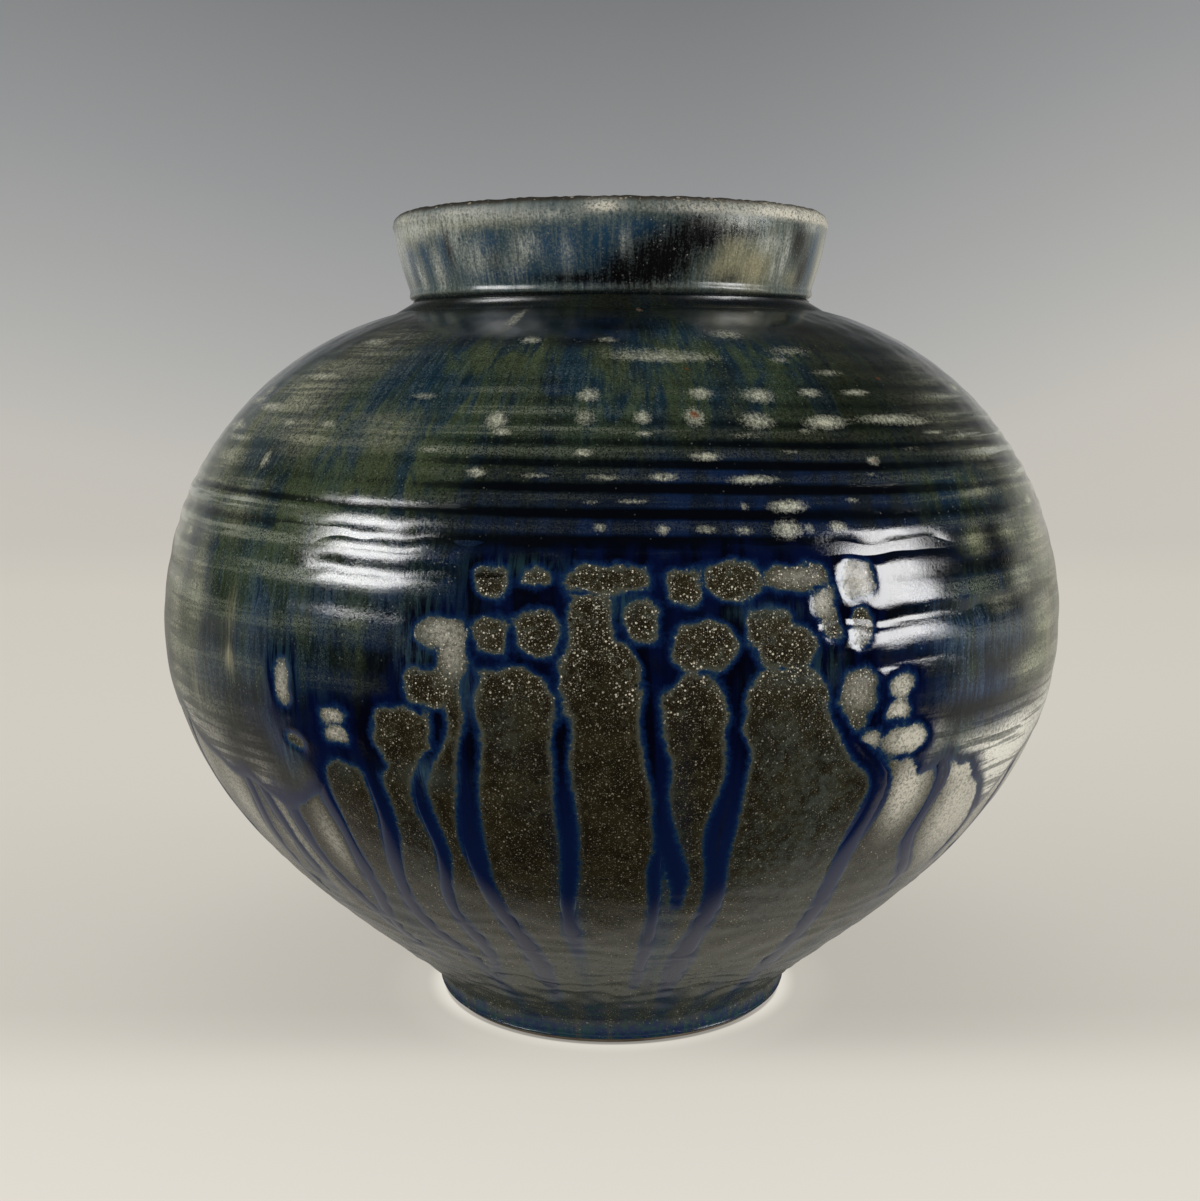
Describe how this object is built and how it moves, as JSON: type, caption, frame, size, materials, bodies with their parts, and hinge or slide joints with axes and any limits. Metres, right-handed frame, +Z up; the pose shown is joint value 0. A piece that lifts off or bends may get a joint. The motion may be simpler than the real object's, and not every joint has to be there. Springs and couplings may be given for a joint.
{
  "type": "stoneware moon jar",
  "caption": "Round stoneware jar with a low foot ring, a wide belly, a ringed shoulder and a short flared collar, under a drip glaze.",
  "frame": {"origin": "centre of the foot ring's resting face, on the surface that the jar stands on", "axes": "+Z up along the jar's axis; -Y is the front that the picture shows, +X is the picture's right"},
  "size_m": [0.2531, 0.2523, 0.2223],
  "materials": {
    "bare_clay": "fired stoneware, bare and slightly rough",
    "coil_clay": "fired stoneware, hidden in the wall",
    "ground_glaze": "glossy brown glaze with pale specks",
    "ash_glaze": "glossy dark blue and green ash glaze with streaks",
    "collar_glaze": "glossy streaked blue-grey and tan glaze",
    "liner_glaze": "glossy brown-black liner glaze",
    "glaze_runs": "glossy cobalt blue raised runs"
  },
  "bodies": {
    "root": {"foot_ring": "bare_clay", "lower_bowl": "bare_clay", "upper_bowl": "bare_clay", "belly_coil": "coil_clay", "neck_collar": "bare_clay", "ground_glaze": "ground_glaze", "ash_glaze": "ash_glaze", "collar_glaze": "collar_glaze", "liner_glaze": "liner_glaze", "glaze_runs": "glaze_runs"}
  },
  "joints": []
}
